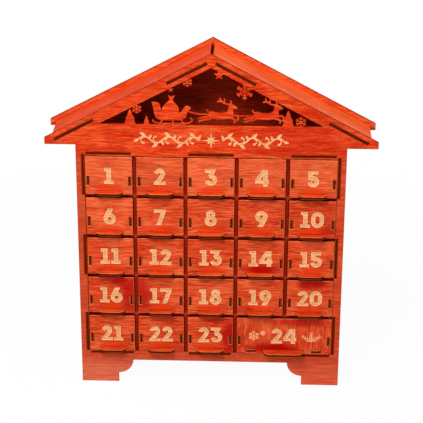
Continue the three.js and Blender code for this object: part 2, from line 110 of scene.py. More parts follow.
forward = Vector((
    math.sin(yaw) * math.cos(pitch), math.cos(yaw) * math.cos(pitch), -math.sin(pitch),
))
level = Vector((math.cos(yaw), -math.sin(yaw), 0))
upward = level.cross(forward)
right = math.cos(roll) * level + math.sin(roll) * upward
top = math.cos(roll) * upward - math.sin(roll) * level
camera_data = bpy.data.cameras.new("camera")
camera_data.sensor_width = sensor_mm
camera_data.lens = focal_px / picture_px * sensor_mm
camera = add_object("camera", camera_data)
turned = Matrix((right, top, -forward)).transposed().to_4x4()
camera.matrix_world = Matrix.Translation(look_at - forward * camera_distance) @ turned
bpy.context.scene.camera = camera
print(f"lens {camera_data.lens:.1f} mm at {camera_distance} m")

# %% [markdown]
# Shader maths reads best as arithmetic. A `Wire` is one output socket of a material, and adding
# or multiplying wires adds the Math nodes. Every other node comes from the one method `node`,
# which sets the node's own settings first and then the values or links of its sockets.

# %% A small class for shader maths
class Wire:
    def __init__(self, tree, socket=None):
        self.tree = tree
        self.socket = socket

    def node(self, kind, settings=None, sockets=None, out=0):
        made = self.tree.nodes.new(kind)
        for name, value in (settings or {}).items():
            setattr(made, name, value)
        for name, value in (sockets or {}).items():
            if isinstance(value, Wire):
                self.tree.links.new(value.socket, made.inputs[name])
            else:
                made.inputs[name].default_value = value
        return Wire(self.tree, made.outputs[out])

    def math(self, operation, first, second):
        return self.node("ShaderNodeMath", {"operation": operation}, {0: first, 1: second})

    def __add__(self, other):
        return self.math("ADD", self, other)

    def __sub__(self, other):
        return self.math("SUBTRACT", self, other)

    def __rsub__(self, other):
        return self.math("SUBTRACT", other, self)

    def __mul__(self, other):
        return self.math("MULTIPLY", self, other)

    __radd__ = __add__
    __rmul__ = __mul__

    def ease(self, low, high, to_low=0.0, to_high=1.0):
        """Runs smoothly from to_low to to_high while this wire goes from low to high."""
        values = {
            "Value": self, "From Min": low, "From Max": high, "To Min": to_low, "To Max": to_high,
        }
        return self.node("ShaderNodeMapRange", {"interpolation_type": "SMOOTHSTEP"}, values)

    def mix(self, first, second):
        """A colour between first and second, by this wire as the share of second."""
        sockets = {0: self, 6: first, 7: second}
        return self.node("ShaderNodeMix", {"data_type": "RGBA"}, sockets, out=2)

    def stretched(self, along, across, through):
        """This wire's vector, with each of its three directions multiplied."""
        scale = {0: self, 1: (along, across, through)}
        return self.node("ShaderNodeVectorMath", {"operation": "MULTIPLY"}, scale)

    def noise(self, seed, detail=2.0, rough=0.5):
        """Cloudy noise over this wire's vector, another one for each seed."""
        values = {"Vector": self, "W": seed, "Scale": 1.0, "Detail": detail, "Roughness": rough}
        return self.node("ShaderNodeTexNoise", {"noise_dimensions": "4D"}, values)

    def attribute(self, name, out=1):
        """A mesh attribute as a vector, or as a number where out is 2."""
        return self.node("ShaderNodeAttribute", {"attribute_name": name}, out=out)

    def object_place(self):
        return self.node("ShaderNodeTexCoord", out=3)

    def part(self, axis):
        """One number of this wire's vector: 0, 1 or 2 for x, y or z."""
        return self.node("ShaderNodeSeparateXYZ", sockets={0: self}, out=axis)

    def length(self):
        return self.node("ShaderNodeVectorMath", {"operation": "LENGTH"}, {0: self}, out=1)

    def bump(self, strength, distance):
        """The normal of a surface that this wire raises by up to distance."""
        values = {"Strength": strength, "Distance": distance, "Height": self}
        return self.node("ShaderNodeBump", sockets=values)


def paint(red, green, blue):
    """A colour given as screen values from 0 to 255, in the linear light that shaders use."""
    def linear(value):
        share = value / 255
        return share / 12.92 if share <= 0.04045 else ((share + 0.055) / 1.055) ** 2.4
    return (linear(red), linear(green), linear(blue), 1.0)


def new_material(name, shine):
    """A material, its Principled shader, and a wire to start its nodes from."""
    material = bpy.data.materials.new(name)
    material.use_nodes = True
    shader = material.node_tree.nodes["Principled BSDF"]
    shader.inputs["Specular IOR Level"].default_value = shine
    return material, shader, Wire(material.node_tree)


def feed(shader, **wires):
    """Links wires to the shader's sockets: base_color feeds Base Color, and so on."""
    for name, wire in wires.items():
        socket = shader.inputs[name.replace("_", " ").title()]
        wire.tree.links.new(wire.socket, socket)


print("shader helpers ready")

# %% [markdown]
# Stained plywood is not one colour. Long fibres take the stain unevenly, which gives fine streaks
# along the grain, pale where the wood is dense and deep red where it drinks. Cloudy patches lie
# over them, some more ochre and some more crimson, and short dark pores. Every sheet carries its
# own coordinates, along the grain, across it and through the thickness, in an attribute named
# `grain`, and a number named `board` that makes each sheet a different piece of wood.
# How fine a feature is follows from how many cells of noise fit in a metre each way.

# %% Stained wood
waver_reach = 8 * mm


def stained_wood(start, pale, middle, deep):
    """Wires for the colour of a stained face and for the height of its fibres."""
    grain = start.attribute("grain")
    board = start.attribute("board", out=2)
    waver = grain.stretched(22, 70, 70).noise(board, detail=1.0)
    bent = start.node("ShaderNodeCombineXYZ", sockets={1: (waver - 0.5) * waver_reach})
    lines = start.node("ShaderNodeVectorMath", {"operation": "ADD"}, {0: grain, 1: bent})
    fibre = lines.stretched(110, 1500, 1500).noise(board, detail=4.0, rough=0.7)
    streak = lines.stretched(40, 820, 820).noise(board + 3.0, detail=3.0, rough=0.65)
    cloud = grain.stretched(30, 80, 80).noise(board + 7.0, detail=4.0, rough=0.6)
    patch = grain.stretched(70, 260, 260).noise(board + 13.0, detail=3.0, rough=0.6)
    pore = lines.stretched(36, 640, 640).noise(board + 19.0)
    tone = start.node("ShaderNodeTexWhiteNoise", {"noise_dimensions": "1D"}, {"W": board})
    shade = fibre * 0.42 + streak * 0.36 + cloud * 0.22 + (tone - 0.5) * 0.04
    color = shade.ease(0.5, 0.57).mix(shade.ease(0.43, 0.5).mix(deep, middle), pale)
    color = (patch.ease(0.52, 0.68) * 0.4).mix(color, ochre)
    color = (patch.ease(0.48, 0.32) * 0.4).mix(color, crimson)
    color = (pore.ease(0.55, 0.66) * 0.45).mix(color, dark_pore)
    return color, fibre


def stained_face(name, pale, middle, deep, over=None, shine=0.07):
    """A stained material. over may change the colour, given the starting wire and the colour."""
    material, shader, start = new_material(name, shine)
    color, fibre = stained_wood(start, pale, middle, deep)
    if over is not None:
        color = over(start, color)
    feed(shader, base_color=color, roughness=fibre.ease(0.3, 0.7, 0.64, 0.5))
    feed(shader, normal=fibre.bump(0.4, 0.12 * mm))
    return material


ochre = paint(196, 92, 40)
crimson = paint(206, 40, 8)
dark_pore = paint(150, 38, 10)
# The faces inside the case get a darker coat, a painted shade for the inside of the case.
shaded_inner_face = stained_face("painted_shade_inner_stain", paint(186, 56, 28), paint(156, 36, 14), paint(120, 20, 6))
tray_face = stained_face("tray_stain", paint(224, 90, 42), paint(206, 64, 18), paint(182, 40, 6))
print("stained faces:", shaded_inner_face.name, tray_face.name)

# %% [markdown]
# The roof boards are a vivid orange at the back and turn rosy towards the front edge, where the
# rosiness is a painted sheen. The right one is painted brighter, as painted light, so each has its
# own colours. The change from back to front is streaky too. A little more shine than on the upright
# sheets gives the pale sheen along the slope. The rim of the back panel that stands up behind them
# is a plain orange.

# %% Stained roof boards
def roof_stain(name, pale, middle, deep, sheen_at_front, at_back):
    """A stained material that changes towards sheen_at_front and at_back along y."""
    def from_front_to_back(start, color):
        grain = start.attribute("grain")
        streaky = grain.stretched(26, 520, 520).noise(9.0, detail=3.0).ease(0.36, 0.64, 0.6, 1.3)
        to_back = start.object_place().part(1)
        # rosy towards the front edge: a painted sheen
        color = (to_back.ease(8 * mm, -20 * mm) * streaky * 0.42).mix(color, sheen_at_front)
        return (to_back.ease(-6 * mm, 18 * mm) * streaky * 0.55).mix(color, at_back)

    return stained_face(name, pale, middle, deep, from_front_to_back, shine=0.12)


roof_faces = {
    "roof_left": roof_stain(
        "left_roof_sheen_and_stain", paint(232, 98, 56), paint(212, 68, 26), paint(188, 40, 8),
        paint(188, 78, 72), paint(230, 64, 4),
    ),
    # the right board's brighter colours are painted light
    "roof_right": roof_stain(
        "right_roof_lit_sheen_and_stain", paint(255, 136, 82), paint(255, 106, 46), paint(232, 74, 20),
        paint(255, 142, 110), paint(255, 84, 12),
    ),
}
rim_face = stained_face("rim_stain", paint(244, 116, 64), paint(224, 86, 34), paint(204, 56, 14))
print("roof faces:", [m.name for m in roof_faces.values()], "and", rim_face.name)

# %% [markdown]
# Where the stain pooled before it dried, the faces turned a deep blood red. A pool is a soft
# ellipse on the front's plane, given by its middle, half size and strength, with its rim broken
# up by noise. The noise comes from the place itself, so a pool runs on from one drawer to the
# next. The same soft patches also lay some painted shadows and painted light.

# %% Pools of stain
def reach_from(place, middle, wide, high):
    """How far place lies from middle, counted in half widths and half heights."""
    sockets = {0: place, 1: middle}
    apart = place.node("ShaderNodeVectorMath", {"operation": "SUBTRACT"}, sockets)
    return apart.stretched(1 / wide, 0, 1 / high).length()


def pooled(start, pools):
    """A wire that reaches each pool's strength inside it and is 0 away from them."""
    place = start.object_place()
    ragged = place.stretched(110, 0, 160).noise(2.0, detail=4.0, rough=0.65)
    depth = None
    for pool_x, pool_z, wide, high, strength in pools:
        reach = reach_from(place, (pool_x, front_y, pool_z), wide, high)
        one = (reach + (ragged - 0.5) * 1.3).ease(1.4, 0.45, 0.0, strength)
        depth = one if depth is None else start.math("MAXIMUM", depth, one)
    return depth


blood_red = paint(172, 6, 0)
print("a pool fades from", round(blood_red[0], 2), "red")

# %% [markdown]
# The panels are most saturated over the drawers, where the stain also pooled at the right. Their
# posts and the rail below the drawers are painted duller, as painted shade that is deepest on the
# left post, and the feet are painted paler, as painted light from the floor, palest on the left.
# Both follow the raised fibres of a streaky noise.

# %% Stained panels
panel_pools = [
    (0.066, 0.2665, 0.034, 0.0045, 0.55),
    (0.098, 0.2915, 0.024, 0.0040, 0.5),
    (0.090, 0.2800, 0.050, 0.0150, 0.25),
    (-0.100, 0.2665, 0.018, 0.0030, 0.4),
]


def rubbed_and_pooled(start, color):
    place = start.object_place()
    to_side = place.part(0)
    height = place.part(2)
    post = start.math("ABSOLUTE", to_side, 0.0).ease(0.124, 0.131) * height.ease(0.268, 0.256)
    rail = height.ease(0.046, 0.036)
    dull = start.math("MAXIMUM", post * to_side.ease(0.12, -0.12, 0.6, 1.0), rail)
    streaky = place.stretched(38, 0, 820).noise(4.0, detail=3.0)
    # painted shade on the posts and the rail
    color = (dull * streaky.ease(0.4, 0.6, 0.55, 0.35)).mix(color, painted_shade_brown)
    # painted light from the floor on the feet
    floor_lit = to_side.ease(-0.06, 0.06).mix(painted_floor_light_rosy, painted_floor_light_orange)
    color = (height.ease(0.034, 0.014) * streaky.ease(0.4, 0.6, 0.1, 0.4)).mix(color, floor_lit)
    return pooled(start, panel_pools).mix(color, blood_red)


painted_shade_brown = paint(166, 74, 48)
painted_floor_light_rosy = paint(255, 150, 118)
painted_floor_light_orange = paint(255, 118, 82)
panel_face = stained_face(
    "panel_stain_and_painted_light", paint(234, 92, 42), paint(208, 54, 12), paint(178, 30, 2), rubbed_and_pooled
)
print(panel_face.name, "with", len(panel_pools), "pools")

# %% [markdown]
# On the drawers the pools lie in the lower right of 10, above the pull of 14, between 16 and 17,
# left of the pull of 19, along the top of 20, 22 and 23, at the right of 23 and along the top and
# bottom of 24. The ones along the tops of 20 and 22 are painted shadows, of the shelf over 20 and
# of the pull over 22. The top row is painted a little paler, as painted light. Over every pull the
# front is a clear orange, a painted bounce of light from the pull's top. That corner is found by an
# attribute named `corner`, the place from the middle of the drawer's lower edge.

# %% Stained drawer fronts
drawer_pools_and_shadows = [
    (0.0530, 0.1360, 0.0185, 0.0055, 1.0),
    (-0.0770, 0.1060, 0.0180, 0.0255, 0.85),
    (-0.0930, 0.1200, 0.0150, 0.0055, 0.9),
    # along the top of 20: a painted shadow of the shelf above
    (0.1050, 0.1205, 0.0170, 0.0065, 0.9),
    (0.0205, 0.0560, 0.0085, 0.0200, 0.95),
    (0.0060, 0.0760, 0.0120, 0.0030, 0.6),
    (0.0960, 0.0760, 0.0300, 0.0065, 0.8),
    (0.0640, 0.0440, 0.0280, 0.0066, 1.0),
    (0.1190, 0.1815, 0.0090, 0.0050, 0.55),
    (0.0350, 0.0890, 0.0100, 0.0045, 0.6),
    # along the top of 22: a painted shadow of the pull above
    (-0.0500, 0.0775, 0.0160, 0.0045, 0.65),
]


def pooled_over_pull(start, color):
    reach = reach_from(start.attribute("corner"), (0, 0, 6 * mm), 15 * mm, 5.8 * mm)
    height = start.object_place().part(2)
    # painted light on the top row
    color = (height.ease(0.216, 0.236) * 0.09).mix(color, painted_top_row_light)
    # painted bounce light over the pull
    color = (reach.ease(1.15, 0.6) * 0.62).mix(color, painted_bounce_orange)
    return pooled(start, drawer_pools_and_shadows).mix(color, blood_red)


painted_top_row_light = paint(255, 152, 96)
painted_bounce_orange = paint(222, 58, 8)
front_face = stained_face(
    "front_stain_and_painted_light", paint(229, 102, 58), paint(205, 66, 26), paint(166, 32, 5), pooled_over_pull
)
print(front_face.name, "with", len(drawer_pools_and_shadows), "pools")

# %% [markdown]
# A laser leaves the cut edge of plywood scorched. Its three plies still show: the middle one is
# end grain, which burns darker. Edges inside the case that were stained after cutting look
# maroon, and the brushed ones along the roof line took nearly the colour of the faces. The tab
# ends of the roof boards are scorched at both rims and paler between them.
# Dyed edges are paler where dividers and shelves cross, because light reaches in between four
# drawers there.

# %% Cut edges
ply_fades_from, ply_fades_to = 0.62 * mm, 0.5 * mm


def cut_edge(name, ply, end_ply, also=None):
    """A cut edge of three plies. also may change the colour, like over in stained_face."""
    material, shader, start = new_material(name, shine=0.0)
    grain = start.attribute("grain")
    from_middle = start.math("ABSOLUTE", grain.part(2) - sheet / 2, 0.0)
    scorch = grain.stretched(260, 260, 900).noise(start.attribute("board", out=2), detail=3.0)
    middle_ply = from_middle.ease(ply_fades_from, ply_fades_to) + (scorch - 0.5) * 0.9
    color = middle_ply.mix(ply, end_ply)
    if also is not None:
        color = also(start, color)
    feed(shader, base_color=color, roughness=scorch.ease(0.3, 0.7, 0.6, 0.85))
    feed(shader, normal=scorch.bump(0.4, 0.1 * mm))
    return material


half_gap = 2 * mm
crossing_light_patch = (4.5 * mm, 2.8 * mm, 0.85)
crossings = []
for corner_drawer in ("drawer_06_front", "drawer_07_front", "drawer_08_front", "drawer_09_front"):
    divider_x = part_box(corner_drawer)[1].x + half_gap
    for number in range(1, 5):
        shelf_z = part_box(f"shelf_{number}")[0].z + sheet / 2
        crossings.append((divider_x, shelf_z) + crossing_light_patch)


def paler_at_crossings(start, color):
    return pooled(start, crossings).mix(color, rosy_edge)


rosy_edge = paint(182, 52, 28)
charred_edge = cut_edge("charred_cut", paint(112, 32, 2), paint(76, 16, 0))
dyed_edge = cut_edge("dyed_cut", paint(150, 30, 8), paint(108, 15, 3), paler_at_crossings)
brushed_edge = cut_edge("brushed_cut", paint(196, 66, 26), paint(160, 46, 14))
roof_edge = cut_edge("roof_cut", paint(58, 12, 0), paint(98, 27, 7))
edges = (charred_edge, dyed_edge, brushed_edge, roof_edge)
print("edges:", [m.name for m in edges], "with", len(crossings), "crossings")

# %% [markdown]
# The corner between face and edge is scorched too, which draws a thin brown line round the
# drawers and shelves. It is duller on the large sheets of the case. The corners of the trays, the
# pulls among them, and the top and right corners of the drawer fronts are paler. The front's
# corners round the pull are a painted highlight over the shaded line where the pull comes out.

# %% Eased corners
def plain_wood(name, light, dark):
    material, shader, start = new_material(name, shine=0.05)
    board = start.attribute("board", out=2)
    speck = start.attribute("grain").stretched(90, 500, 500).noise(board, detail=3.0)
    color = speck.ease(0.35, 0.65).mix(light, dark)
    feed(shader, base_color=color, roughness=speck.ease(0.3, 0.7, 0.6, 0.8))
    return material


scorched_corner = plain_wood("scorched_corner", paint(150, 50, 18), paint(104, 26, 5))
dull_corner = plain_wood("dull_corner", paint(194, 76, 38), paint(156, 48, 16))
pale_corner = plain_wood("pale_corner", paint(248, 150, 100), paint(226, 106, 58))
print("corners:", [m.name for m in (scorched_corner, dull_corner, pale_corner)])

# %% [markdown]
# The laser also engraves: it burns away the stained skin and leaves bare, slightly toasted wood.
# The sloping wall of an engraved stroke is cream with a scorched lip, and its floor is a greener
# khaki that is flecked with cream.

# %% Engraved wood
engraving_depth = 0.35 * mm


def engraved(name, cream, khaki):
    material, shader, start = new_material(name, shine=0.1)
    grain = start.attribute("grain")
    depth = grain.part(2)
    speck = grain.stretched(110, 420, 420).noise(5.0, detail=4.0, rough=0.65)
    floor = depth.ease(0.3 * engraving_depth, engraving_depth)
    color = (floor * 0.8 + (speck - 0.5) * 3.5).mix(cream, khaki)
    lip = depth.ease(0.22 * engraving_depth, 0.02 * engraving_depth)
    color = (lip * 0.7).mix(color, scorched)
    feed(shader, base_color=color, roughness=speck.ease(0.3, 0.7, 0.75, 0.9))
    return material


scorched = paint(176, 72, 26)
engraved_wood = engraved("engraved_wood", paint(255, 190, 146), paint(202, 150, 93))
print("engraving", round(engraving_depth / mm, 2), "mm deep, finished as", engraved_wood.name)

# %% [markdown]
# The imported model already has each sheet's outline, tabs and slots, so a sheet starts as a copy
# of its solid. The copy's triangles are sewn together and its flat faces made whole. Then each
# edge between face and cut is eased with a flat bevel, and the faces are sorted into face, cut
# and corner by how square they stand to the sheet. Extruding leaves what it makes in another
# order on each run, so a mesh is put in the order of its places wherever the order could change
# what comes out. Engraved faces are known by their material number, `engraved_mark`.

# %% From a solid to an eased sheet
corner_width = 0.22 * mm
weld = 0.002 * mm
flat_within = math.radians(0.5)
sharp_from = math.radians(30)
engraved_mark = 30


def every(part):
    return True


def solid_copy(node):
    bm = bmesh.new()
    bm.from_mesh(frame["nodes"][node].data)
    bmesh.ops.remove_doubles(bm, verts=bm.verts, dist=weld)
    bmesh.ops.dissolve_degenerate(bm, edges=bm.edges, dist=weld)
    bmesh.ops.dissolve_limit(bm, angle_limit=flat_within, verts=bm.verts, edges=bm.edges)
    return bm


def put_in_order(bm):
    """Sorts by place, with a weight for each direction that keeps mirrored places apart."""
    def rank(point):
        return point.dot(Vector((1.0, 1.37, 1.93)))

    bm.verts.sort(key=lambda vert: rank(vert.co))
    bm.edges.sort(key=lambda edge: rank(edge.verts[0].co + edge.verts[1].co))
    bm.faces.sort(key=lambda face: rank(face.calc_center_median()))


def mesh_in_order(bm, name):
    """Turns bm into a mesh of that name, in order, and frees it."""
    put_in_order(bm)
    mesh = bpy.data.meshes.new(name)
    bm.to_mesh(mesh)
    bm.free()
    return mesh


def ease_corners(bm, worn=every):
    """Bevels the sharp edges that are worn, but not those of the engraving."""
    put_in_order(bm)
    sharp = []
    for edge in filter(worn, bm.edges):
        if edge.is_manifold and edge.calc_face_angle() > sharp_from:
            if all(face.material_index != engraved_mark for face in edge.link_faces):
                sharp.append(edge)
    bmesh.ops.bevel(
        bm, geom=sharp, offset=corner_width, offset_type="OFFSET", affect="EDGES",
        segments=1, profile=0.5, material=-1, clamp_overlap=False,
    )


print("an eased corner is", round(corner_width / mm, 2), "mm wide")

# %% [markdown]
# A piece may hold several sheets, so a function picks out the faces of each. They get their grain
# coordinates, the number of their board and a material. The finished piece stands for its solid
# and rides on the solid's body.

# %% From an eased sheet to a finished piece
board_numbers = iter(range(1, 1000))
board_step = 0.9
face_from, edge_below = 0.9, 0.4


def all_but(belongs):
    """The function that picks the faces which belongs leaves out."""
    return lambda face: not belongs(face)


def slot_of(coats, material):
    """The number of a material in a piece's list, where it is added if it is new."""
    if material not in coats:
        coats.append(material)
    return coats.index(material)


def vector_layer(bm, name):
    return bm.loops.layers.float_vector.get(name) or bm.loops.layers.float_vector.new(name)


def lay_grain(
    bm, belongs, origin, along, through, coats, face_coat, edge_coat, corner_coat=scorched_corner
):
    """Gives the faces that belong to one sheet their grain coordinates, board and materials."""
    grain = vector_layer(bm, "grain")
    board = bm.faces.layers.float.get("board") or bm.faces.layers.float.new("board")
    across = through.cross(along)
    number = next(board_numbers) * board_step
    for face in filter(belongs, bm.faces):
        face[board] = number
        for loop in face.loops:
            place = loop.vert.co - origin
            loop[grain] = (place.dot(along), place.dot(across), place.dot(through))
        squareness = abs(face.normal.dot(through))
        if face.material_index == engraved_mark:
            coat = engraved_wood
        elif squareness > face_from:
            coat = face_coat
        elif squareness < edge_below:
            coat = edge_coat
        else:
            coat = corner_coat
        face.material_index = slot_of(coats, coat)


def finish_piece(bm, name, coats, node):
    """Makes the mesh a piece that stands for its node and rides on the node's body."""
    mesh = mesh_in_order(bm, name)
    for material in coats:
        mesh.materials.append(material)
    piece = add_object(name, mesh)
    bodies = frame["record"]["behaviour"]["bodies"]
    body = next(body for body, nodes in bodies.items() if node in nodes)
    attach(piece, body)
    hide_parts(node)
    next(row["material_slot"] for row in frame["record"]["subparts"] if row["node"] == node)
    print(name, len(mesh.polygons), "faces")


x_axis = Vector((1, 0, 0))
y_axis = Vector((0, 1, 0))
z_axis = Vector((0, 0, 1))
print("boards are numbered", board_step, "apart")

# %% [markdown]
# The walls, shelves and bottom board are single sheets, so each needs only the direction of its
# grain and of its thickness. Face grain runs the long way of a board.

# %% Walls, shelves and bottom board
def dress_sheet(node, along, through, face_coat, edge_coat, corner_coat=dull_corner):
    bm = solid_copy(node)
    ease_corners(bm)
    coats = []
    deepest = min(vert.co.dot(through) for vert in bm.verts)
    origin = through * deepest
    lay_grain(bm, every, origin, along, through, coats, face_coat, edge_coat, corner_coat)
    finish_piece(bm, node + "_sheet", coats, node)


for wall in ("left_wall", "right_wall"):
    dress_sheet(wall, z_axis, x_axis, panel_face, charred_edge)
dress_sheet("bottom_board", x_axis, z_axis, shaded_inner_face, charred_edge)
for number in range(1, 5):
    dress_sheet(f"shelf_{number}", x_axis, z_axis, shaded_inner_face, dyed_edge, scorched_corner)

# %% [markdown]
# The roof boards are single sheets too, but they lie on the slope. Its direction is read from the
# board's own faces: the largest one that looks upwards is its top.

# %% Roof boards
def largest_upward_normal(node):
    faces = [f for f in frame["nodes"][node].data.polygons if f.normal.z > 0.5]
    return max(faces, key=lambda face: face.area).normal.copy()


for roof in ("roof_left", "roof_right"):
    slope_up = largest_upward_normal(roof)
    dress_sheet(roof, y_axis.cross(slope_up), slope_up, roof_faces[roof], roof_edge)

# %% [markdown]
# The top board and the four dividers under it are glued into one piece. Its faces are told apart
# by height: what lies above the window belongs to the board, and the rest to the dividers, whose
# front edges were stained and show maroon between the drawers.

# %% Top board and dividers
def dress_top_board_and_dividers(node="top_board_and_dividers"):
    bm = solid_copy(node)
    ease_corners(bm)
    top_face = max(vert.co.z for vert in bm.verts)
    underside = top_face - sheet

    def of_board(face):
        return face.calc_center_median().z > underside - corner_width

    coats = []
    origin = z_axis * underside
    lay_grain(bm, of_board, origin, x_axis, z_axis, coats, shaded_inner_face, charred_edge, dull_corner)
    lay_grain(bm, all_but(of_board), Vector(), z_axis, x_axis, coats, shaded_inner_face, dyed_edge)
    finish_piece(bm, node + "_sheets", coats, node)


dress_top_board_and_dividers()

# %% [markdown]
# An engraved stroke is cut by a tool shaped like the groove: a flat outline with straight sides,
# and a tip that slopes inwards to a narrower floor. Its outline is a band of even width round a
# line of points. The tool is an extruded face whose end is inset and pushed on, and one boolean
# cuts all the tools of a sheet at once.

# %% Tools that cut the engraving
tool_reach = 1.0 * mm
arc_step = 15


def arc(middle_x, middle_z, radius, start, end):
    """Points along an arc, from one angle in degrees to another."""
    steps = max(3, round(abs(end - start) / arc_step))
    angles = [math.radians(start + (end - start) * i / steps) for i in range(steps + 1)]
    return [(middle_x + radius * math.cos(a), middle_z + radius * math.sin(a)) for a in angles]


def band(points, width, end_width=None):
    """The outline of a band of that width along the points, tapering where end_width is given."""
    end_width = width if end_width is None else end_width
    line = [Vector(point) for point in points]
    left, right_side = [], []
    for i, point in enumerate(line):
        ahead = (line[min(i + 1, len(line) - 1)] - line[max(i - 1, 0)]).normalized()
        share = i / (len(line) - 1)
        half = (width * (1 - share) + end_width * share) / 2
        side = Vector((-ahead.y, ahead.x)) * half
        left.append(point + side)
        right_side.append(point - side)
    return left + right_side[::-1]


def add_tool(bm, outline, slope, depth):
    """Adds the cutting tool of one outline, given in metres as x and z, to bm."""
    flat = [bm.verts.new((x, front_y - tool_reach, z)) for x, z in outline]
    cap = bm.faces.new(flat)
    grown = bmesh.ops.extrude_face_region(bm, geom=[cap])["geom"]
    tip = next(item for item in grown if isinstance(item, bmesh.types.BMFace))
    bmesh.ops.translate(bm, verts=tip.verts, vec=(0, tool_reach, 0))
    tip.normal_update()
    if tip.normal.y < 0:
        tip.normal_flip()
    bmesh.ops.inset_region(
        bm, faces=[tip], thickness=slope, depth=depth, use_even_offset=True, use_boundary=True
    )


def carve(bm, outlines, slope, depth=engraving_depth):
    """Cuts outlines into the sheet's front face and returns the new mesh."""
    tool_bm = bmesh.new()
    for outline in outlines:
        add_tool(tool_bm, outline, slope, depth)
    bmesh.ops.recalc_face_normals(tool_bm, faces=tool_bm.faces)
    for face in tool_bm.faces:
        face.material_index = engraved_mark
    solids = []
    for source, label in ((bm, "sheet_to_carve"), (tool_bm, "carving_tools")):
        solids.append(add_object(label, mesh_in_order(source, label)))
    carving = solids[0].modifiers.new("carving", "BOOLEAN")
    carving.operation = "DIFFERENCE"
    carving.solver = "EXACT"
    carving.use_self = True
    carving.object = solids[1]
    seen = solids[0].evaluated_get(bpy.context.evaluated_depsgraph_get())
    carved = bmesh.new()
    carved.from_mesh(seen.to_mesh())
    seen.to_mesh_clear()
    bmesh.ops.remove_doubles(carved, verts=carved.verts, dist=weld)
    bmesh.ops.dissolve_degenerate(carved, edges=carved.edges, dist=weld)
    for solid in solids:
        bpy.data.meshes.remove(solid.data)
    return carved


print("tools start", round(tool_reach / mm, 1), "mm before the face")

# %% [markdown]
# The numbers are sturdy slab digits about 17.6 mm tall. Each is drawn as a few overlapping
# strokes, in millimetres from the lower left corner of the digit: a stroke is a width and the
# points of its middle line, or 0 and the corners of an outline. Drawing strokes keeps the weight
# even, and rings come from two arcs that overlap.

# %% The ten digits
stem, bowl, slab = 4.5, 4.3, 3.6
digit_height = 17.6
upper_slab = digit_height - slab / 2


def ring(x, z, radius, width=bowl):
    return [(width, arc(x, z, radius, 75, 285)), (width, arc(x, z, radius, -105, 105))]


six_tail = [(4.5, 17.6), (0.2, 7.8), (1.6, 6.6), (4.6, 8.6), (7.6, 11.6), (7.8, 12.9), (10.1, 17.6)]
digits = {
    "0": (13.0, [
        (bowl, arc(6.5, 11.0, 4.3, 0, 180)),
        (bowl, arc(6.5, 6.6, 4.3, 180, 360)),
        (bowl, [(2.2, 12.0), (2.2, 5.6)]),
        (bowl, [(10.8, 12.0), (10.8, 5.6)]),
    ]),
    "1": (9.8, [
        (slab, [(0, slab / 2), (9.8, slab / 2)]),
        (stem, [(5.1, 1.0), (5.1, digit_height)]),
        (slab, [(0.6, upper_slab), (6.0, upper_slab)]),
    ]),
    "2": (11.8, [
        (bowl, arc(5.9, 12.1, 3.3, 178, -22)),
        (bowl, [(9.0, 12.6), (8.4, 9.6), (2.4, 1.6)]),
        (slab, [(0, slab / 2), (11.8, slab / 2)]),
    ]),
    "3": (12.2, [
        (0, [
            (0.2, 17.6), (11.1, 17.6), (8.6, 11.9), (6.0, 10.4), (3.1, 10.2), (4.9, 13.8),
            (0.3, 14.0),
        ]),
        (bowl, arc(6.1, 6.1, 4.0, 115, -168)),
    ]),
    "4": (13.6, [
        (0, [(6.4, 17.6), (0, 7.0), (0, 5.0), (3.4, 5.0), (7.9, 12.3), (9.0, 14.0), (9.0, 17.6)]),
        (3.8, [(0, 5.1), (13.6, 5.1)]),
        (stem, [(10.1, 0), (10.1, digit_height)]),
    ]),
    "5": (11.8, [
        (slab, [(0.6, upper_slab), (10.6, upper_slab)]),
        (stem, [(2.9, digit_height - 0.6), (2.9, 8.0)]),
        (bowl, arc(5.8, 6.0, 3.8, 142, -174)),
    ]),
    "6": (12.6, ring(6.3, 6.2, 4.1) + [(0, six_tail)]),
    "7": (12.0, [
        (0, [
            (0, 17.6), (0, 12.9), (2.4, 14.0), (6.9, 14.0), (2.0, 0), (6.7, 0), (11.8, 14.8),
            (11.8, 17.6),
        ]),
    ]),
    "8": (13.0, ring(6.5, 12.9, 2.9, 3.5) + ring(6.5, 5.7, 4.0)),
    "9": (12.6, ring(6.3, 11.4, 4.1) + [(0, [(12.6 - x, 17.6 - z) for x, z in six_tail])]),
}
digit_gap = 1.2


def number_outlines(text, middle, base):
    """Outlines of a number's strokes, centred on middle and standing on base, in metres."""
    width = sum(digits[letter][0] for letter in text) + digit_gap * (len(text) - 1)
    at = -width / 2
    outlines = []
    for letter in text:
        for stroke_width, line in digits[letter][1]:
            moved = [((x + at) * mm + middle, z * mm + base) for x, z in line]
            outlines.append(band(moved, stroke_width * mm) if stroke_width else moved)
        at += digits[letter][0] + digit_gap
    return outlines


print("24 is", digits["2"][0] + digit_gap + digits["4"][0], "mm wide")

# %% [markdown]
# Beside its number the double front carries two small stars of frost and a fan of fir sprigs, in
# thin lines that run out from a point.

# %% Small ornaments for the double front
def towards(angle):
    return Vector((math.cos(angle), math.sin(angle)))


def spray(x, z, radius, arms, twigs, width):
    """Thin strokes that run out from a point, with side twigs, like frost."""
    strokes = []
    for i in range(arms):
        angle = 2 * math.pi * (i + 0.5) / arms
        along = towards(angle)
        middle = Vector((x, z))
        strokes.append(band([middle, middle + along * radius], width))
        for share in twigs:
            fork = middle + along * radius * share
            for turn in (-math.pi / 4, math.pi / 4):
                twig = towards(angle + turn) * radius * (1 - share) * 0.7
                strokes.append(band([fork, fork + twig], width))
    return strokes


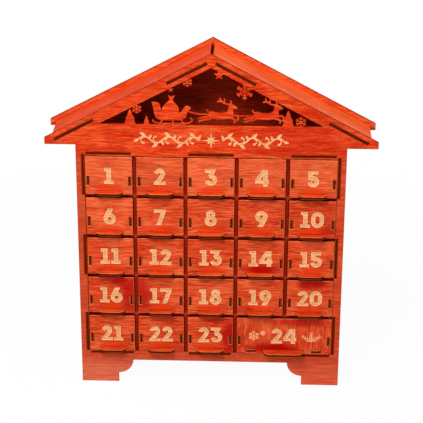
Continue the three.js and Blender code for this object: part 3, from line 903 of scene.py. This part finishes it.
def sprig(x, z, reach, lean, pairs, width):
    """A fir twig: a stem with pairs of needles, leaning by an angle in degrees."""
    along = towards(math.radians(lean))
    across = Vector((-along.y, along.x))
    foot = Vector((x, z))
    strokes = [band([foot, foot + along * reach], width)]
    for i in range(pairs):
        fork = foot + along * reach * (i + 0.6) / pairs
        needle = reach * 0.34 * (1 - 0.5 * i / pairs)
        for side in (-1, 1):
            strokes.append(band([fork, fork + (along + across * side) * needle * 0.7], width))
    return strokes


def double_front_ornaments(middle, base):
    thin = 0.6 * mm
    frost = spray(middle - 31.5 * mm, base + 8.5 * mm, 6.2 * mm, 6, (0.4, 0.7), thin)
    frost += spray(middle - 22.0 * mm, base + 12.0 * mm, 3.4 * mm, 6, (0.5,), thin)
    fan = []
    for lean, reach in ((36, 11.5), (90, 11), (144, 11.5)):
        fan += sprig(middle + 29 * mm, base + 2.5 * mm, reach * mm, lean, 4, thin)
    return frost + fan


print("ornament strokes:", len(double_front_ornaments(0, 0)))

# %% [markdown]
# Each drawer front is a small sheet with its number engraved above the pull. The grain of the
# fronts lies level, apart from the double front, which was cut from the sheet the other way, so
# that its grain stands upright. Its corners at the top and at the right are paler, and those round
# the pull are a painted highlight over the shaded line above the pull.

# %% Drawer fronts
number_rise = 12.0 * mm
engraving_slope, ornament_slope = 0.8 * mm, 0.1 * mm
pull_highlight_reach = 23 * mm
pull_highlight_from, pull_highlight_to = 0.5 * mm, 6 * mm


def dress_front(name):
    node = name + "_front"
    low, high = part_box(node)
    middle = (low.x + high.x) / 2
    wide = high.x - low.x > 1.5 * (high.z - low.z)
    base = low.z + number_rise
    number = number_outlines(str(int(name[-2:])), middle, base)
    bm = carve(solid_copy(node), number, engraving_slope)
    if wide:
        ornaments = double_front_ornaments(middle, base)
        bm = carve(bm, ornaments, ornament_slope, engraving_depth / 2)
    ease_corners(bm)
    corner = vector_layer(bm, "corner")
    for face in bm.faces:
        for loop in face.loops:
            loop[corner] = loop.vert.co - Vector((middle, low.y, low.z))
    coats = []
    along = z_axis if wide else x_axis

    def at_touched_corner(face):
        place = face.calc_center_median()
        level_with_pull = pull_highlight_from < place.z - low.z < pull_highlight_to
        # round the pull the pale corner is a painted highlight over a shaded line
        round_pull = level_with_pull and abs(place.x - middle) < pull_highlight_reach
        top_or_right = face.normal.x + face.normal.z > 0.4
        return abs(face.normal.y) < face_from and (round_pull or top_or_right)

    origin = Vector((0, low.y, 0))
    choices = ((at_touched_corner, pale_corner), (all_but(at_touched_corner), scorched_corner))
    for belongs, corner_coat in choices:
        lay_grain(
            bm, belongs, origin, along, y_axis, coats, front_face, charred_edge, corner_coat
        )
    finish_piece(bm, node + "_board", coats, node)


for name in drawer_names:
    dress_front(name)

# %% [markdown]
# A tray is four sheets: a floor that runs through the front as the rounded pull, two sides whose
# tabs show as dark slots beside the number, and a back between them. The model has them as one
# solid. Here each sheet is a box or an outline of its own with a hair of a gap, so that the
# joints show when a drawer is pulled open. A pull is given by half its width and the radius of
# its corners.

# %% Drawer trays
hair = 0.05 * mm
floor_rise = 1.0 * mm
tab_rise, tab_height = 10.3 * mm, 9.5 * mm
single_pull = (13.75 * mm, 5.5 * mm)
double_pull = (21 * mm, 7.0 * mm)
floor_tab_width, floor_tab_offset = 9.5 * mm, 34.2 * mm


def pull_outline(middle, half_pull, corner, tip, back, half_floor, tabs):
    """The floor with its tongue and tabs, as points in x and y. Its halves are mirror images."""
    behind_front = front_y + sheet
    half = arc(half_pull - corner, tip + corner, corner, -90, 0) + [(half_pull, behind_front)]
    for offset in tabs:
        near, far = offset - floor_tab_width / 2, offset + floor_tab_width / 2
        half += [(near, behind_front), (near, front_y), (far, front_y), (far, behind_front)]
    half += [(half_floor, behind_front), (half_floor, back)]
    return [(middle + x, y) for x, y in half] + [(middle - x, y) for x, y in reversed(half)]


def add_board(bm, mark, outline, offset):
    """Adds a sheet to bm: an outline pushed out by offset. Its faces get the next mark."""
    number = 1 + max((face[mark] for face in bm.faces), default=0)
    face = bm.faces.new([bm.verts.new(point) for point in outline])
    grown = bmesh.ops.extrude_face_region(bm, geom=[face])["geom"]
    moved = [item for item in grown if isinstance(item, bmesh.types.BMVert)]
    bmesh.ops.translate(bm, verts=moved, vec=offset)
    for face in bm.faces:
        if face[mark] == 0:
            face[mark] = number
    return number


def dress_tray(name):
    node = name + "_tray"
    low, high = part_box(node)
    middle = (low.x + high.x) / 2
    wide = high.x - low.x > 1.5 * (high.z - low.z) + sheet
    half = (high.x - low.x) / 2
    back = high.y - sheet
    behind_front = front_y + sheet
    tab_low = low.z + tab_rise
    tab_high = tab_low + tab_height
    bm = bmesh.new()
    mark = bm.faces.layers.int.new("sheet")
    inner = half - sheet - hair
    half_pull, pull_corner = double_pull if wide else single_pull
    tabs = [floor_tab_offset] if wide else []
    outline = pull_outline(middle, half_pull, pull_corner, low.y, back - hair, inner, tabs)
    floor = [(x, y, low.z + floor_rise) for x, y in outline]
    directions = {add_board(bm, mark, floor, z_axis * sheet): (x_axis, z_axis)}
    side = [
        (behind_front, low.z), (high.y, low.z), (high.y, high.z), (behind_front, high.z),
        (behind_front, tab_high), (front_y, tab_high), (front_y, tab_low), (behind_front, tab_low),
    ]
    for x in (middle - half, middle + half - sheet):
        side_board = [(x, y, z) for y, z in side]
        directions[add_board(bm, mark, side_board, x_axis * sheet)] = (y_axis, x_axis)
    corners = [(-inner, low.z), (inner, low.z), (inner, high.z), (-inner, high.z)]
    back_board = [(middle + x, back, z) for x, z in corners]
    directions[add_board(bm, mark, back_board, y_axis * sheet)] = (x_axis, y_axis)
    bmesh.ops.recalc_face_normals(bm, faces=bm.faces)
    ease_corners(bm)
    coats = []
    for number, (along, through) in directions.items():

        def of_sheet(face):
            return face[mark] == number

        faces = filter(of_sheet, bm.faces)
        deepest = min(vert.co.dot(through) for face in faces for vert in face.verts)
        origin = through * deepest
        lay_grain(
            bm, of_sheet, origin, along, through, coats, tray_face, charred_edge, pale_corner
        )
    finish_piece(bm, node + "_sheets", coats, node)


for name in drawer_names:
    dress_tray(name)

# %% [markdown]
# Over the drawers the front panel carries an engraved winter garland: a star in the middle and a
# twining stem to each side. The stem is a wave of even height. Out of every crest grows a leaf,
# and into every hollow winds a tendril that ends in a berry. Both halves are mirror images made
# by one loop over the crests.

# %% Garland of the front panel
garland_middle = 278.5 * mm
garland_start, garland_end = 11.5 * mm, 73.0 * mm
wave_height = 3.6 * mm
crests = 5
stem_steps, curl_steps = 60, 12


def stem_point(share):
    """A point of the right half's stem, from 0 beside the star to 1 at its tip."""
    x = garland_start + (garland_end - garland_start) * share
    return Vector((x, garland_middle + wave_height * math.sin(math.pi * crests * share)))


def leaf(foot, heading, length, width):
    """A pointed leaf outline from its foot, at a heading in radians."""
    direction = towards(heading)
    across = Vector((-direction.y, direction.x))
    shape = [(0.0, 0.0), (0.22, 0.8), (0.48, 1.0), (0.78, 0.58), (1.0, 0.0)]
    one_side = [foot + direction * length * u + across * width / 2 * w for u, w in shape]
    other_side = [foot + direction * length * u - across * width / 2 * w for u, w in shape[1:-1]]
    return one_side + other_side[::-1]


def tendril(foot, heading, turn, length):
    """A curl that winds in, to the left where turn is 1, and the berry at its end."""
    points = [foot]
    for i in range(curl_steps):
        points.append(points[-1] + towards(heading) * length / curl_steps)
        heading += turn * (0.16 + 0.022 * i)
    berry = [points[-1] + Vector(point) for point in arc(0, 0, 1.35 * mm, 0, 330)]
    return [band(points, 1.6 * mm, 1.0 * mm), berry]


def garland():
    line = [stem_point(i / stem_steps) for i in range(stem_steps + 1)]
    half = [band(line, 2.0 * mm, 1.4 * mm)]
    for i in range(crests):
        turn = -1 if i % 2 else 1
        foot = stem_point((i + 0.5) / crests) - Vector((1.5 * mm, 0))
        half.append(leaf(foot, turn * math.radians(38), 7.4 * mm, 3.3 * mm))
        before = stem_point((i + 0.08) / crests)
        half.append(leaf(before, turn * math.radians(112), 5.6 * mm, 2.8 * mm))
        half += tendril(stem_point((i + 0.3) / crests), turn * math.radians(8), -turn, 11.5 * mm)
    last_foot = stem_point(1.0) - Vector((0.8 * mm, 0))
    half.append(leaf(last_foot, math.radians(-20), 6.0 * mm, 3.0 * mm))
    outlines = [[(side * x, z) for x, z in outline] for side in (-1, 1) for outline in half]
    star = []
    for i in range(16):
        radius = (9.0 if i % 4 == 0 else 5.6 if i % 2 == 0 else 2.7) * mm
        angle = math.pi / 2 + i * math.pi / 8
        star.append((radius * math.cos(angle), garland_middle + radius * math.sin(angle)))
    return outlines + [star]


print("garland:", len(garland()), "outlines")

# %% [markdown]
# In the front panel the gable opening is cut out round figures: a sleigh with a sack, two
# reindeer, fir trees, stars and snowflakes. Their twigs are about a millimetre wide, too thin to
# have their corners eased, so the bevel leaves out every edge that lies inside the gable. The
# long sloping edges of the roof line are told from the rest by their length and direction.

# %% Front panel
garland_slope = 0.35 * mm
gable_sill = 294.7 * mm
gable_rim = 10.5 * mm
roof_line_length = 100 * mm


def on_roof_line(face):
    longest = max(edge.calc_length() for edge in face.edges)
    slopes_up = face.normal.z > 0.5 and abs(face.normal.x) > 0.2
    return slopes_up and longest > roof_line_length


def finish_panel(bm, node, front, choices):
    """Finishes a panel whose front lies at that y. choices pairs a face picker with its coat."""
    coats = []
    origin = Vector((0, front, 0))
    for belongs, face_coat in choices:
        lay_grain(bm, belongs, origin, x_axis, y_axis, coats, face_coat, charred_edge, dull_corner)
    lay_grain(bm, on_roof_line, origin, x_axis, y_axis, coats, panel_face, brushed_edge)
    finish_piece(bm, node + "_sheet", coats, node)


def dress_front_panel(node="front_panel"):
    bm = carve(solid_copy(node), garland(), garland_slope)
    low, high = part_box(node)
    apex = Vector((0, 0, high.z))
    slopes = [largest_upward_normal(roof) for roof in ("roof_left", "roof_right")]

    def beyond_gable(edge):
        middle = (edge.verts[0].co + edge.verts[1].co) / 2
        under_roof = all((middle - apex).dot(slope_up) < -gable_rim for slope_up in slopes)
        return middle.z < gable_sill - mm or not under_roof

    ease_corners(bm, beyond_gable)
    finish_panel(bm, node, low.y, [(all_but(on_roof_line), panel_face)])


dress_front_panel()

# %% [markdown]
# The back panel is a closed copy of the front. The side that faces into the case gets a darker
# coat as painted shade, but the rim that stands up behind the roof is as bright as the roof. So its
# inner side is cut along the two roof boards' top planes with `bisect_plane`, and only what lies
# under both gets the painted shade.

# %% Back panel
def dress_back_panel(node="back_panel"):
    bm = solid_copy(node)
    ease_corners(bm)
    planes = []
    for roof in ("roof_left", "roof_right"):
        slope_up = largest_upward_normal(roof)
        points = [vert.co for vert in frame["nodes"][roof].data.vertices]
        on_top = max(points, key=lambda point: point.dot(slope_up))
        planes.append((on_top.copy(), slope_up))
        everything = bm.verts[:] + bm.edges[:] + bm.faces[:]
        bmesh.ops.bisect_plane(bm, geom=everything, plane_co=on_top, plane_no=slope_up, dist=weld)
    low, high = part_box(node)

    def under_roof(face):
        middle = face.calc_center_median()
        return all((middle - point).dot(slope_up) < 0 for point, slope_up in planes)

    def inside(face):
        return face.normal.y < -face_from and under_roof(face)

    def rim(face):
        return face.normal.y < -face_from and not under_roof(face)

    def outside(face):
        return face.normal.y >= -face_from and not on_roof_line(face)

    choices = [(inside, shaded_inner_face), (rim, rim_face), (outside, panel_face)]
    finish_panel(bm, node, low.y, choices)


dress_back_panel()

# %% [markdown]
# The photograph is taken on white. The floor is a pale plane that keeps the object's soft shadow,
# and to the camera it also glows a little, so that it runs into the white round it. The world is
# white to the camera and to reflections, and a softer grey as a light.

# %% Floor and world
def make_floor():
    bm = bmesh.new()
    bmesh.ops.create_grid(bm, x_segments=1, y_segments=1, size=3.0)
    mesh = mesh_in_order(bm, "white_table")
    material, shader, start = new_material("white_table", shine=0.0)
    shader.inputs["Base Color"].default_value = paint(248, 248, 248)
    shader.inputs["Roughness"].default_value = 0.9
    glow = start.node("ShaderNodeEmission", sockets={"Color": (1, 1, 1, 1), "Strength": 1.0})
    seen = start.node("ShaderNodeLightPath", out=0)
    share = seen * start.object_place().length().ease(0.2, 0.8, 0.96, 1.0)
    plain_white = Wire(start.tree, shader.outputs[0])
    surface = start.node("ShaderNodeMixShader", sockets={0: share, 1: plain_white, 2: glow})
    output = next(n for n in start.tree.nodes if n.type == "OUTPUT_MATERIAL")
    start.tree.links.new(surface.socket, output.inputs["Surface"])
    mesh.materials.append(material)
    floor = add_object("white_table", mesh)


def make_world(light_level):
    world = bpy.data.worlds.new("white_room")
    world.use_nodes = True
    start = Wire(world.node_tree)
    background = world.node_tree.nodes["Background"]
    seen = start.node("ShaderNodeLightPath", out=0)
    mirrored = start.node("ShaderNodeLightPath", out=3)
    passed = start.node("ShaderNodeLightPath", out=6)
    white = start.math("MAXIMUM", start.math("MAXIMUM", seen, mirrored), passed)
    strength = white * (1 - light_level) + light_level
    world.node_tree.links.new(strength.socket, background.inputs["Strength"])
    background.inputs["Color"].default_value = (1, 1, 1, 1)
    bpy.context.scene.world = world


make_floor()
make_world(0.25)
print("floor and world ready")

# %% [markdown]
# Two large soft lamps stand in for the studio's boxes. The main one hangs above and to the left,
# which brightens the tops of the pulls, lays a soft shadow under each, and shades the left side
# of every gap between two columns. The other fills in from the right.

# %% Lamps
def soft_lamp(name, place, size, watts):
    data = bpy.data.lights.new(name, "AREA")
    data.shape = "SQUARE"
    data.size = size
    data.energy = watts
    lamp = add_object(name, data)
    aim = (look_at - Vector(place)).to_track_quat("-Z", "Y")
    lamp.matrix_world = Matrix.Translation(place) @ aim.to_matrix().to_4x4()


soft_lamp("box_above", (-0.25, -0.7, 1.15), 0.55, 15.4)
soft_lamp("box_right", (1.3, -1.3, 0.9), 0.9, 4)
scene = bpy.context.scene
scene.view_settings.view_transform = "Standard"
